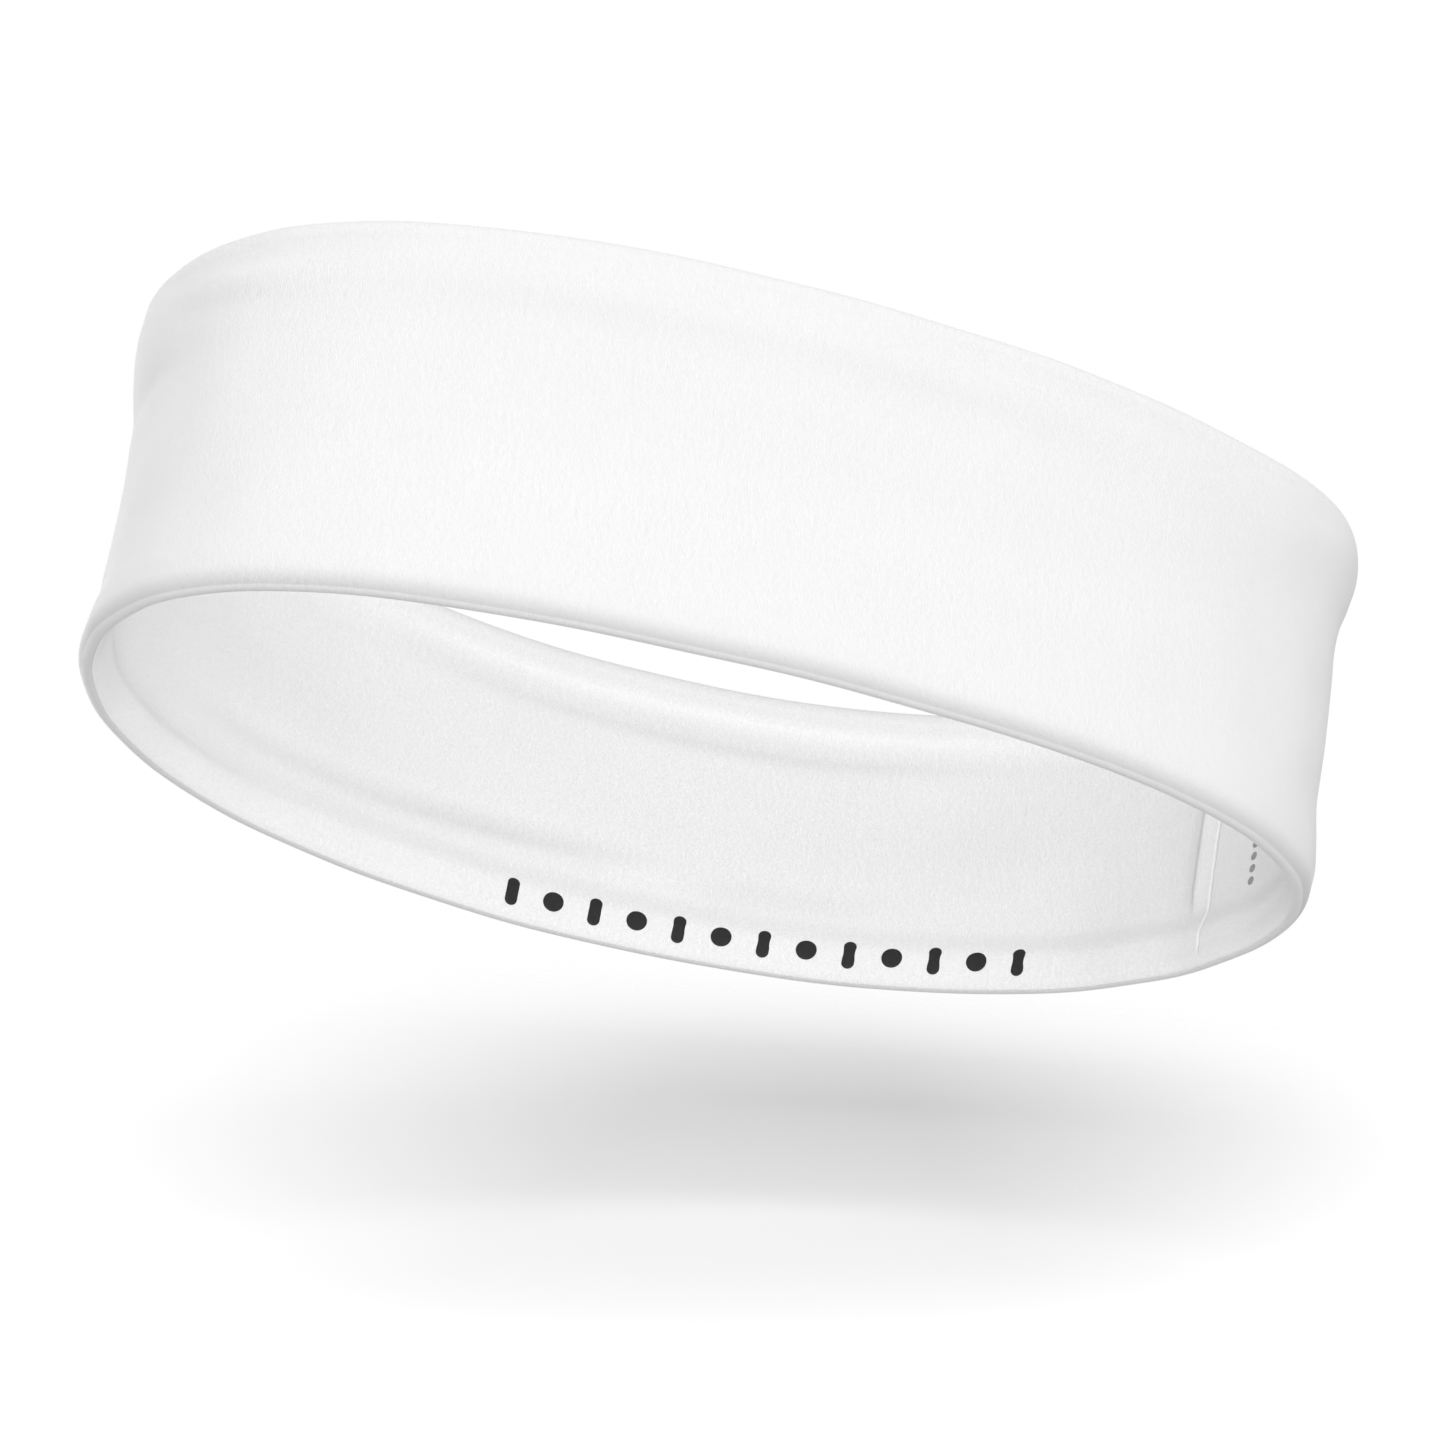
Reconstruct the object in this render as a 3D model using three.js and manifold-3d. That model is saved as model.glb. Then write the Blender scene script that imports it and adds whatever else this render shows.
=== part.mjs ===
// Sports headband: two rings of stretch knit, one outside and one against the skin, sewn together
// along both edges with the seam allowances turned in between them. Millimetres, +Z up.
// The band stands on its lower rim, with the tall forehead side at -Y and the low nape side at +Y.

import * as THREE from 'three';
import { mergeVertices } from 'three/addons/utils/BufferGeometryUtils.js';
import Module from 'manifold-3d';

// ---- Driving dimensions ----

// Plan of the relaxed band, measured to the middle of its wall at the lower rim.
const halfLength = 98;
const halfDepth = 55;
const endFullness = 2.7;        // how much squarer than an ellipse the two ends are
const frontFlattening = 5.8;    // how much the forehead side is flattened against the nape side

// Heights, rim to rim.
const frontHeight = 66.5;
const sideHeight = 59.5;
const backHeight = 55;

// How the wall leans and hollows between its rims.
const upperRimSpread = 2;       // the upper rim stands this much further out than the lower one
const bodyHollow = 1;           // the middle of the wall is drawn in by this much

// Cloth and thread.
const clothThickness = 0.55;
const plyClearance = 0.2;       // between plies that lie on each other
const threadThickness = 0.25;
const threadReach = 1.2;        // how far an overlock covers the cut edge, along the cloth

// Seams.
const edgeAllowance = 7;        // cloth turned in along each rim
const closingAllowance = 3.4;   // cloth turned back at the seam that closes each ring
const closingSeamAngle = 20;    // degrees round the plan from +X towards +Y
const closingThreadWidth = 0.8;
const rootHalfWidth = 0.5;      // where a closing allowance joins its ring

// Shape of the rolled rim. The outer ring wraps round its crest, and meets the inner ring in a lip.
const crestHeight = 2.2;        // the rim is fully thick this far from its crest
const crestFlatInner = -0.2;    // the flat that the band stands on, across the wall
const crestFlatOuter = 0.9;
const shoulderHeight = 0.7;     // where the crest turns up into the faces of the wall
const shoulderInset = 0.3;
const lipReach = 0.7;
const lipHeight = 0.35;
const pocketRise = 0.1;         // how the cloth rounds inside the crest, where the plies part
const pocketInset = 0.2;
const pocketDepth = 0.4;        // cloth at the crest that is thicker than one ply
const easeLength = 4;           // over which the thick rim eases into the flat wall

// Where the wall stands off to pass a closing allowance.
const bulgeRamp = 3;            // up the wall
const bulgeLead = 0.6;          // along the wall, before the seam
const bulgeLeadRamp = 1;
const bulgeTailRamp = 1.8;

// Printed marks on the inner ring, over the nape.
const markCount = 13;
const markStartAngle = 47.5;    // degrees round the plan, at the middle of the first mark
const markPitch = 7.4;
const markHeight = 5.2;
const markBarWidth = 2.2;
const markDotWidth = 3.6;
const markMiddleHeight = 5;
const printThickness = 0.15;
const printClearance = 0.35;    // the plates stand this far off the bent cloth
const lotDotCount = 4;
const lotDotAngle = 11;
const lotDotLowest = 13.2;
const lotDotPitch = 2.3;
const lotDotWidth = 1.5;

const ringStations = 48;

// ---- Values that follow from them ----

const plyInner = plyClearance / 2;
const bodyHalf = plyInner + clothThickness;
const stripInner = bodyHalf + plyClearance + threadThickness + plyClearance;
const stripHalf = stripInner + clothThickness;
const stripTop = edgeAllowance + plyClearance + threadThickness + plyClearance;
const easeEnd = stripTop + easeLength;
const flapEnd = easeEnd + bulgeRamp;
const flapThickness = 2 * clothThickness;
const bulgeHeight = flapThickness + plyClearance;

// ---- The wall: a point from its place round the plan, across the wall and up it ----

function planPoint(angle) {
    const x = halfLength * Math.cos(angle) + endFullness * (Math.cos(angle) - Math.cos(3 * angle));
    const y = halfDepth * Math.sin(angle) - frontFlattening * (1 + Math.cos(2 * angle));
    return new THREE.Vector2(x, y);
}

function planNormal(angle) {
    const step = 1e-4;
    const along = planPoint(angle + step).sub(planPoint(angle - step)).normalize();
    return new THREE.Vector2(along.y, -along.x);
}

function wallHeight(angle) {
    const toBack = Math.sin(angle);
    const tilt = (backHeight - frontHeight) / 2;
    const crown = (backHeight + frontHeight) / 2 - sideHeight;
    return sideHeight + tilt * toBack + crown * toBack * toBack;
}

// across is measured outwards from the middle of the wall, height from the lower rim.
function wallPoint(angle, across, height) {
    const share = height / wallHeight(angle);
    const lean = upperRimSpread * share - bodyHollow * Math.sin(Math.PI * share);
    const place = planPoint(angle).addScaledVector(planNormal(angle), across + lean);
    return new THREE.Vector3(place.x, place.y, height);
}

// The angle that lies a given length along the plan from a starting angle, found in short steps.
function angleAlong(start, length) {
    const steps = 8 + Math.ceil(2 * Math.abs(length));
    const probe = 1e-3;
    let angle = start;
    for (let i = 0; i < steps; i += 1) {
        const lengthPerAngle = planPoint(angle + probe).distanceTo(planPoint(angle - probe)) / (2 * probe);
        angle += length / steps / lengthPerAngle;
    }
    return angle;
}

// ---- Sections: closed outlines of points { across, height, fromTop, bulge } ----

const low = (across, height, bulge = 0) => ({ across, height, fromTop: false, bulge });
const flipped = (point) => ({ ...point, fromTop: true });
const midway = (across) => ({ across, middle: true, bulge: 1 });

// From the lip at the lower rim to the lip at the upper rim, mirrored about the middle of the wall.
function rimToRim(rim) {
    return [...rim, midway(rim[rim.length - 1].across), ...rim.map(flipped).reverse()];
}

// The wall above a rim: the face that shows with side 1 or -1 for the outer or the inner ring.
function showingWall(side) {
    return [
        low(side * stripHalf, crestHeight),
        low(side * stripHalf, stripTop),
        low(side * bodyHalf, easeEnd),
        low(side * bodyHalf, flapEnd, 1),
    ];
}

// The back of a ring, from the crest up the turned-in ply, over its cut edge, down and up the wall.
function hiddenWall(side, plyStart, pocketBottom) {
    return [
        low(side * plyInner, plyStart),
        low(side * plyInner, edgeAllowance),
        low(side * bodyHalf, edgeAllowance),
        low(side * bodyHalf, pocketBottom),
        low(side * (stripInner - pocketInset), pocketBottom),
        low(side * stripInner, crestHeight + pocketRise),
        low(side * stripInner, stripTop),
        low(side * plyInner, easeEnd),
        low(side * plyInner, flapEnd, 1),
    ];
}

const lipTop = lipHeight + clothThickness;
const seamTop = lipTop + plyClearance;
const seamReach = lipReach + plyClearance;

const outerRingFace = rimToRim([
    low(-lipReach, lipHeight),
    low(crestFlatInner, 0),
    low(crestFlatOuter, 0),
    low(stripHalf - shoulderInset, shoulderHeight),
    ...showingWall(1),
]);

const outerRingBack = rimToRim([
    low(-lipReach, lipTop),
    ...hiddenWall(1, lipTop + pocketRise, lipTop + pocketDepth),
]);

const innerRingFace = rimToRim([
    low(-seamReach, lipHeight + pocketRise),
    low(-stripHalf + shoulderInset, shoulderHeight),
    ...showingWall(-1),
]);

const innerRingBack = rimToRim([
    low(-seamReach, seamTop),
    ...hiddenWall(-1, seamTop + pocketRise, seamTop + pocketRise + clothThickness),
]);

const outerRingSection = [...outerRingFace, ...outerRingBack.reverse()];
const innerRingSection = [...innerRingFace, ...innerRingBack.reverse()];

// The overlock along a rim is a channel that covers both cut edges of the turned-in cloth.
function overlockSection(isUpper) {
    const inside = bodyHalf + plyClearance;
    const outside = inside + threadThickness;
    const mouth = edgeAllowance - threadReach;
    const cutEdge = edgeAllowance + plyClearance;
    const points = [
        low(-outside, mouth),
        low(-inside, mouth),
        low(-inside, cutEdge),
        low(inside, cutEdge),
        low(inside, mouth),
        low(outside, mouth),
        low(outside, cutEdge + threadThickness),
        low(-outside, cutEdge + threadThickness),
    ];
    return isUpper ? points.map(flipped) : points;
}

// A strip that lies up the wall between the two rims.
function stripSection(across0, across1) {
    const foot = [low(across0, flapEnd), low(across1, flapEnd)];
    return [...foot, midway(across1), flipped(foot[1]), flipped(foot[0]), midway(across0)];
}

// ---- Sweeping a section round the wall ----

const seamAngle = THREE.MathUtils.degToRad(closingSeamAngle);
const threadEnd = closingAllowance + plyClearance + closingThreadWidth;

// Where the wall starts and stops standing off to pass a closing allowance, along the plan.
const bulgeTail = threadEnd + plyClearance;
const bulgeStops = [-bulgeLead - bulgeLeadRamp, -bulgeLead, bulgeTail, bulgeTail + bulgeTailRamp];

function bulgeAt(length, side) {
    const [start, full, last, end] = bulgeStops;
    const forward = length * side;
    if (forward <= start || forward >= end) return 0;
    if (forward < full) return (forward - start) / (full - start);
    if (forward > last) return (end - forward) / (end - last);
    return 1;
}

// Stations carry their angle, and their length along the plan from the seam where they are near it.
function ringStationList() {
    const forward = [...bulgeStops, closingAllowance];
    const near = [0, ...forward, ...forward.map((length) => -length)];
    const stations = near.map((length) => ({ length, angle: angleAlong(seamAngle, length) }));
    const first = Math.min(...stations.map((station) => station.angle));
    const last = Math.max(...stations.map((station) => station.angle));
    const step = (2 * Math.PI - (last - first)) / ringStations;
    for (let i = 1; i < ringStations; i += 1) {
        stations.push({ length: Infinity, angle: last + i * step });
    }
    return stations.sort((a, b) => a.angle - b.angle);
}

function sectionHeight(point, angle) {
    const height = wallHeight(angle);
    if (point.middle) return height / 2;
    return point.fromTop ? height - point.height : point.height;
}

// bulge moves the wall by this much at the closing seam, and side says which way round it lies.
function sweep(section, stations, { closed = true, bulge = 0, side = 1 } = {}) {
    const outline = section.map((point) => new THREE.Vector2(point.across, sectionHeight(point, 0)));
    const points = THREE.ShapeUtils.area(outline) > 0 ? section : [...section].reverse();
    const positions = [];
    for (const station of stations) {
        const move = bulge * bulgeAt(station.length, side);
        for (const point of points) {
            const height = sectionHeight(point, station.angle);
            positions.push(...wallPoint(station.angle, point.across + move * point.bulge, height));
        }
    }
    const count = points.length;
    const index = [];
    const spans = closed ? stations.length : stations.length - 1;
    for (let i = 0; i < spans; i += 1) {
        const here = i * count;
        const next = ((i + 1) % stations.length) * count;
        for (let j = 0; j < count; j += 1) {
            const k = (j + 1) % count;
            index.push(here + j, next + j, next + k, here + j, next + k, here + k);
        }
    }
    if (!closed) {
        const angle = stations[0].angle;
        const flat = points.map((point) => new THREE.Vector2(point.across, sectionHeight(point, angle)));
        const last = (stations.length - 1) * count;
        for (const [a, b, c] of THREE.ShapeUtils.triangulateShape(flat, [])) {
            index.push(a, b, c, last + a, last + c, last + b);
        }
    }
    const geometry = new THREE.BufferGeometry();
    geometry.setAttribute('position', new THREE.Float32BufferAttribute(positions, 3));
    geometry.setIndex(index);
    return geometry;
}

// A strip up the wall beside the closing seam, from one length along the plan to another.
function seamStrip(across0, across1, length0, length1) {
    const lengths = [Math.min(length0, length1), Math.max(length0, length1)];
    const stations = lengths.map((length) => ({ length, angle: angleAlong(seamAngle, length) }));
    return sweep(stripSection(across0, across1), stations, { closed: false });
}

// ---- Joining solids ----

const wasm = await Module();
wasm.setup();

function toSolid(geometry) {
    const plain = geometry.clone();
    plain.deleteAttribute('normal');
    plain.deleteAttribute('uv');
    const merged = mergeVertices(plain, 1e-5);
    const vertProperties = new Float32Array(merged.attributes.position.array);
    const triVerts = new Uint32Array(merged.index.array);
    return new wasm.Manifold(new wasm.Mesh({ numProp: 3, vertProperties, triVerts }));
}

function toGeometry(solid) {
    const mesh = solid.getMesh();
    const geometry = new THREE.BufferGeometry();
    geometry.setAttribute('position', new THREE.BufferAttribute(mesh.vertProperties, 3));
    geometry.setIndex(new THREE.BufferAttribute(mesh.triVerts, 1));
    return geometry;
}

// ---- Pieces ----

const ring = ringStationList();

// A ring of knit with the allowance of its closing seam, which lies between the rings.
// side 1 turns the allowance towards +Y and bulges inwards, side -1 does the opposite.
function knitRing(section, side) {
    const flapFace = plyInner + flapThickness;
    const rootFace = flapFace + plyClearance + clothThickness / 2;
    const panel = sweep(section, ring, { bulge: -side * bulgeHeight, side });
    const flap = seamStrip(-side * plyInner, -side * flapFace, 0, closingAllowance * side);
    const root = seamStrip(-side * plyInner, -side * rootFace, -rootHalfWidth, rootHalfWidth);
    return toGeometry(toSolid(panel).add(toSolid(root)).add(toSolid(flap)));
}

// The overlock that covers the cut edge of a closing allowance.
function closingThread(side) {
    const faces = [plyInner, plyInner + flapThickness].map((across) => -side * across);
    const reach = [closingAllowance + plyClearance, threadEnd].map((length) => length * side);
    return seamStrip(...faces, ...reach);
}

// A thin plate on the face of the inner ring, bent to the wall. Its outline is along the wall and up it.
function printedPlate(outline, angle, middle, face) {
    const options = { depth: printThickness, bevelEnabled: false };
    const plate = new THREE.ExtrudeGeometry(new THREE.Shape(outline), options);
    const position = plate.attributes.position;
    const back = -face - printClearance - printThickness;
    for (let i = 0; i < position.count; i += 1) {
        const along = angleAlong(angle, position.getX(i));
        const height = middle + position.getY(i);
        position.setXYZ(i, ...wallPoint(along, back + position.getZ(i), height));
    }
    return plate;
}

// An upright bar with round ends, or a round dot where width and height are the same.
function roundEndedOutline(width, height) {
    const radius = width / 2;
    const straight = (height - width) / 2;
    const outline = new THREE.Path();
    outline.absarc(0, straight, radius, 0, Math.PI, false);
    outline.absarc(0, -straight, radius, Math.PI, 2 * Math.PI, false);
    const points = outline.getPoints(6);
    return points;
}

// ---- The headband ----

const knitMaterial = new THREE.MeshStandardMaterial({ color: 0xf4f4f5, roughness: 0.9, metalness: 0 });
const threadMaterial = new THREE.MeshStandardMaterial({ color: 0xeeeef0, roughness: 0.75, metalness: 0 });
const markMaterial = new THREE.MeshStandardMaterial({ color: 0x141416, roughness: 0.6, metalness: 0 });
const lotMaterial = new THREE.MeshStandardMaterial({ color: 0x8d8d91, roughness: 0.6, metalness: 0 });

const headband = new THREE.Group();

function addPiece(name, geometry, material) {
    const mesh = new THREE.Mesh(geometry, material.clone());
    mesh.name = name;
    headband.add(mesh);
}

addPiece('outer_ring', knitRing(outerRingSection, -1), knitMaterial);
addPiece('inner_ring', knitRing(innerRingSection, 1), knitMaterial);
addPiece('upper_edge_overlock', sweep(overlockSection(true), ring), threadMaterial);
addPiece('lower_edge_overlock', sweep(overlockSection(false), ring), threadMaterial);
addPiece('outer_closing_overlock', closingThread(-1), threadMaterial);
addPiece('inner_closing_overlock', closingThread(1), threadMaterial);

const firstMark = THREE.MathUtils.degToRad(markStartAngle);
const bar = roundEndedOutline(markBarWidth, markHeight);
const dot = roundEndedOutline(markDotWidth, markDotWidth);
for (let i = 0; i < markCount; i += 1) {
    const angle = angleAlong(firstMark, i * markPitch);
    const plate = printedPlate(i % 2 === 0 ? bar : dot, angle, markMiddleHeight, stripHalf);
    addPiece(`print_mark_${i + 1}`, plate, markMaterial);
}

const lotAngle = THREE.MathUtils.degToRad(lotDotAngle);
const lotDot = roundEndedOutline(lotDotWidth, lotDotWidth);
for (let i = 0; i < lotDotCount; i += 1) {
    const plate = printedPlate(lotDot, lotAngle, lotDotLowest + i * lotDotPitch, bodyHalf);
    addPiece(`lot_dot_${i + 1}`, plate, lotMaterial);
}

export default headband;
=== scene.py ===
import math

import bpy
import numpy as np
from mathutils import Matrix, Vector


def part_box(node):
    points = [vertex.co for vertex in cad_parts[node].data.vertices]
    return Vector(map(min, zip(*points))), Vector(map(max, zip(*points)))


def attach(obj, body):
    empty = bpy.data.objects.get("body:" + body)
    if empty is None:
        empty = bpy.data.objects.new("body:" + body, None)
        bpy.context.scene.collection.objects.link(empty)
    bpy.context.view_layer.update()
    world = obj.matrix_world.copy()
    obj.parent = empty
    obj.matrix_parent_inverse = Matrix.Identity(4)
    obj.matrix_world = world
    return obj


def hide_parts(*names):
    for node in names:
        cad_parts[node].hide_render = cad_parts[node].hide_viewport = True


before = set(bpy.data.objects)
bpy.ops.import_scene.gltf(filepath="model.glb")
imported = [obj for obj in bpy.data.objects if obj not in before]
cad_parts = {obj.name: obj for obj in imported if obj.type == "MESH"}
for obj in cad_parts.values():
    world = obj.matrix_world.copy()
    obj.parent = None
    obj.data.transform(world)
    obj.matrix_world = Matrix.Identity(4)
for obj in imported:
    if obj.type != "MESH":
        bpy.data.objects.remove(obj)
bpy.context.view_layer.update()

print("frame loaded")

# The wall of the band, in millimetres. Angles go round the plan from +X towards +Y, the nape side.
ringLow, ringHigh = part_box("outer_ring")
ringSize = (ringHigh - ringLow) * 1000

wall = {
    "rimStandsOut": 3.64,      # the upper rim is this far outside the plan line
    "endFullness": 2.7,        # how much squarer than an ellipse the two ends are
    "frontFlattening": 5.8,
    "frontHeight": ringSize.z,
    "sideHeight": ringSize.z - 7.0,
    "backHeight": ringSize.z - 12.4,
    "meanHeight": 60.0,
    "upperRimSpread": 2.0,
    "bodyHollow": 1.0,
    "leanToRight": 2.26,       # how far the slack band leans over at its upper rim
    "lift": 1.2,               # so that its lowest bend touches the floor
    "lowerRimWave": (0.66, -0.52),
    "upperRimWave": -0.23,
    "rimCurl": 0.35,           # the lower rim turns in a little
    "curlReach": 6.5,
}
halfLength = ringSize.x / 2 - wall["rimStandsOut"]
halfDepth = ringSize.y / 2 - wall["rimStandsOut"]

# The cloth and its turned-in edges.
cloth = {
    "thickness": 0.55,
    "plyGap": 0.1,             # from the middle of the wall to the back of each ply
    "edgeAllowance": 7.0,
    "stripHalf": 1.85,         # half the thickness over the turned-in edges
    "stripCrown": 0.12,
    "crestHeight": 3.0,        # where the fold under the rim has come up into the face
    "crownEnd": 9.0,
    "stripEnd": 6.0,           # where the thick edge starts to ease into the wall
    "easeEnd": 11.6,           # on the inner face
    "outerEaseEnd": 19.0,      # the outer face eases more slowly
}
bodyHalf = cloth["plyGap"] + cloth["thickness"]

# The seam that closes each ring. Its allowance lies behind the cloth, on one side of the stitches.
seam = {
    "angle": 20.0,
    "allowance": 3.4,
    "ridge": 0.34,             # how far the allowance lifts the cloth
    "ridgeRise": (-0.8, 2.6),  # where the lift starts and is full, from the stitches
    "ridgeFall": (0.1, 3.2),   # where it starts to fall and ends, from the allowance's cut edge
    "edgeRidge": 0.26,         # the extra lift along that cut edge
    "edgeHalf": (1.1, 0.42),   # its half width towards the stitches and away from them
    "groove": 0.30,
    "grooveHalf": 0.2,
    "pucker": 0.035,
    "puckerPitch": 1.9,
}

# Painted shade: how much darker the cloth is painted in its hollows, where a wave is one mm deep, and
# elsewhere.
paintedShades = {
    "outerPlain": 0.08,
    "outerHollow": 0.16,
    "nearFold": 0.46,          # painted shade under the turn of the lower rim on the forehead side
    "nearFoldHeight": 4.2,
    "innerPlain": 0.14,
    "innerHollow": 0.26,
    "most": 0.6,
    # painted shade along the stitches of the closing seams
    "stitches": 0.75,
    "stitchesHalf": 0.17,
    "outerCutEdge": 0.22,      # painted shade beside the closing allowance's cut edge
    "innerCutEdge": 0.4,
    "cutEdgePast": 0.45,
    "cutEdgeHalf": 0.5,
}


def smoothStep(low, high, value):
    t = np.clip((value - low) / (high - low), 0, 1)
    return t * t * (3 - 2 * t)


def degreesFrom(middle, angle):
    return (np.degrees(angle) - middle + 180) % 360 - 180


def planPoint(angle):
    full = wall["endFullness"]
    x = halfLength * np.cos(angle) + full * (np.cos(angle) - np.cos(3 * angle))
    y = halfDepth * np.sin(angle) - wall["frontFlattening"] * (1 + np.cos(2 * angle))
    return x, y


def planNormal(angle):
    full = wall["endFullness"]
    dx = -halfLength * np.sin(angle) - full * (np.sin(angle) - 3 * np.sin(3 * angle))
    dy = halfDepth * np.cos(angle) + 2 * wall["frontFlattening"] * np.sin(2 * angle)
    length = np.hypot(dx, dy)
    return dy / length, -dx / length, length


def wallHeight(angle):
    front, side, back = wall["frontHeight"], wall["sideHeight"], wall["backHeight"]
    toBack = np.sin(angle)
    return side + (back - front) / 2 * toBack + ((back + front) / 2 - side) * toBack ** 2


# Length round the plan, measured from the closing seam.
angleTable = np.linspace(-math.pi, 3 * math.pi, 8001)
lengthTable = np.concatenate([[0], np.cumsum(np.diff(angleTable) * planNormal(angleTable)[2][1:])])
seamAngle = math.radians(seam["angle"])
lengthTable = lengthTable - np.interp(seamAngle, angleTable, lengthTable)
roundLength = np.interp(seamAngle + 2 * math.pi, angleTable, lengthTable)


def angleAt(length):
    return np.interp(length, lengthTable, angleTable)


def lengthAt(degrees):
    return float(np.interp(math.radians(degrees), angleTable, lengthTable))


# Soft waves of the slack cloth, each a long low fold: angle and height of its middle,
# half length in degrees, half width in mm, how far it slopes over that half length, and its depth.
# A height below zero is measured down from the upper rim.
softWaves = [
    # outside, under the upper rim
    (204, 51.0, 11, 2.2, -0.2, -0.38),
    (207, 55.0, 13, 2.6, 0.2, 0.26),
    (215, -4.2, 18, 2.4, 0.5, -0.42),
    (246, 52.6, 14, 3.0, 0.3, -0.20),
    (281, 53.4, 14, 3.2, 0.0, -0.20),
    (296, -4.6, 15, 2.4, 0.0, -0.32),
    (262, -9.0, 26, 3.2, 0.0, 0.20),
    (184, -17.5, 9, 3.4, 0.0, -0.55),
    (186, -8.0, 10, 5.0, 0.0, 0.40),
    (330, 56.0, 8, 3.0, 1.5, 0.25),
    # outside, elsewhere
    (192, 30.0, 9, 7.0, 5.0, 0.25),
    (240, 22.0, 22, 6.0, 2.0, 0.12),
    (262, 40.0, 26, 7.0, -2.0, -0.12),
    (290, 27.0, 24, 6.0, 2.0, 0.14),
    (318, 44.0, 18, 6.0, 3.0, -0.20),
    (338, 24.0, 12, 7.0, 5.0, 0.26),
    # inside, under the far upper rim
    (83, -10.4, 19, 2.9, 0.4, 0.80),
    (62, -9.4, 11, 2.6, -0.6, 0.38),
    (108, -8.4, 12, 2.8, 1.4, 0.42),
    (84, -5.4, 26, 3.0, 0.2, -0.34),
    # inside, along the far lower rim
    (101, 16.9, 13, 2.5, -0.9, 0.95),
    (123, 15.6, 14, 2.6, 0.2, 0.55),
    (74, 15.4, 9, 3.0, 0.0, 0.40),
    (85, 15.6, 5, 4.4, 0.0, -0.30),
    (143, 7.7, 21, 2.1, 0.5, 0.60),
    (138, 3.9, 28, 2.6, 0.0, -0.26),
    (66, 4.6, 26, 2.8, 0.0, -0.22),
    (34, 5.0, 22, 3.6, 0.0, -0.36),
    (130, 30.0, 18, 9.0, 4.0, 0.30),
    (58, 29.0, 18, 9.0, -4.0, 0.26),
]

# Places where the wall as a whole stands further out or in: angle, height, reach in degrees and mm, push.
nudges = [
    (350, 30, 20, 60, 1.15),
    (358, 51, 16, 8, -2.0),
    (176, 9, 14, 5, -1.3),
    (176, 45, 12, 12, 0.5),
]

# Places where the upper rim runs a little higher or lower: angle, reach in degrees, rise.
rimLifts = [
    (334, 15, 1.9),
    (181, 12, 1.0),
    (224, 20, -0.45),
]

# The faint unevenness of the whole wall, a sum of waves with up to so many turns round the band.
unevenWall = {
    "seed": 11,
    "waves": 26,
    "turns": (3, 26),
    "slope": 0.16,
    "depth": 0.2,
}


def waveDepth(angle, height):
    out = np.zeros(np.broadcast(angle, height).shape)
    for middle, level, reach, breadth, slope, depth in softWaves:
        along = degreesFrom(middle, angle) / reach
        level = level if level > 0 else wallHeight(angle) + level
        across = (height - level - slope * along) / breadth
        profile = (1 - 0.5 * across ** 2) * np.exp(-0.8 * across ** 2)
        out = out + depth * np.exp(-along ** 2 * 1.1) * profile
    return out


def slackness(angle, height):
    out = waveDepth(angle, height)
    for middle, level, reach, breadth, push in nudges:
        along = degreesFrom(middle, angle) / reach
        out = out + push * np.exp(-along ** 2 - ((height - level) / breadth) ** 2)
    rng = np.random.default_rng(unevenWall["seed"])
    for _ in range(unevenWall["waves"]):
        turns = rng.integers(*unevenWall["turns"])
        rise = rng.uniform(-unevenWall["slope"], unevenWall["slope"])
        phase = rng.uniform(0, 2 * math.pi)
        depth = unevenWall["depth"] / (2 + turns) ** 0.7
        out = out + depth * np.sin(turns * angle + rise * height + phase)
    return out


def rimLift(angle):
    out = 0
    for middle, reach, rise in rimLifts:
        out = out + rise * np.exp(-(degreesFrom(middle, angle) / reach) ** 2)
    return out


def wallPlace(angle, across, height):
    # the place of a point that lies so far out from the middle of the wall and so high up it
    share = height / wallHeight(angle)
    lean = wall["upperRimSpread"] * share - wall["bodyHollow"] * np.sin(math.pi * share)
    x, y = planPoint(angle)
    nx, ny, _ = planNormal(angle)
    curl = wall["rimCurl"] * (1 - np.clip(height / wall["curlReach"], 0, 1)) ** 2
    off = across + lean - curl + slackness(angle, height)
    first, second = wall["lowerRimWave"]
    lowWave = first * np.cos(angle) + second * np.cos(2 * angle)
    highWave = wall["upperRimWave"] * np.cos(angle) + rimLift(angle)
    z = height + wall["lift"] + lowWave * (1 - share) + highWave * share
    return np.stack([x + nx * off + wall["leanToRight"] * share, y + ny * off, z], -1)


# The section of a ring goes up its face from one rim to the other and down behind it.
# side is 1 for the outer ring and -1 for the inner one, and heights are from the nearer rim.
# Each ring's cloth reaches a little way under the rim: the turns of that fold, in degrees from
# straight down, and the place of its last point.
lips = {
    1: {"turns": [-22.2, -21, -17, *np.linspace(-11, 90, 18)], "across": -0.66, "height": 0.62},
    -1: {"turns": [23.4, 24.6, 28, *np.linspace(33, 90, 13)], "across": -0.82, "height": 0.78},
}
rimRows = list(np.linspace(3.4, 6.6, 9)) + list(np.linspace(7.0, 19.5, 26))
bodyRows = 48
lowerRim, upperRim, wallBody = 0, 1, 2


def stripHalfAt(height, side):
    up = np.clip((height - cloth["crestHeight"]) / (cloth["crownEnd"] - cloth["crestHeight"]), 0, 1)
    crown = cloth["stripCrown"] * np.sin(math.pi * up) ** 2
    ease = smoothStep(cloth["stripEnd"], cloth["outerEaseEnd" if side > 0 else "easeEnd"], height)
    return cloth["stripHalf"] + crown - (cloth["stripHalf"] - bodyHalf) * ease


def faceRows(side):
    rows = []
    for turn in lips[side]["turns"]:
        t = math.radians(turn)
        rows.append((side * math.sin(t) * cloth["stripHalf"], cloth["crestHeight"] * (1 - math.cos(t))))
    for h in rimRows:
        rows.append((side * stripHalfAt(h, side), h))
    return rows


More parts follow.
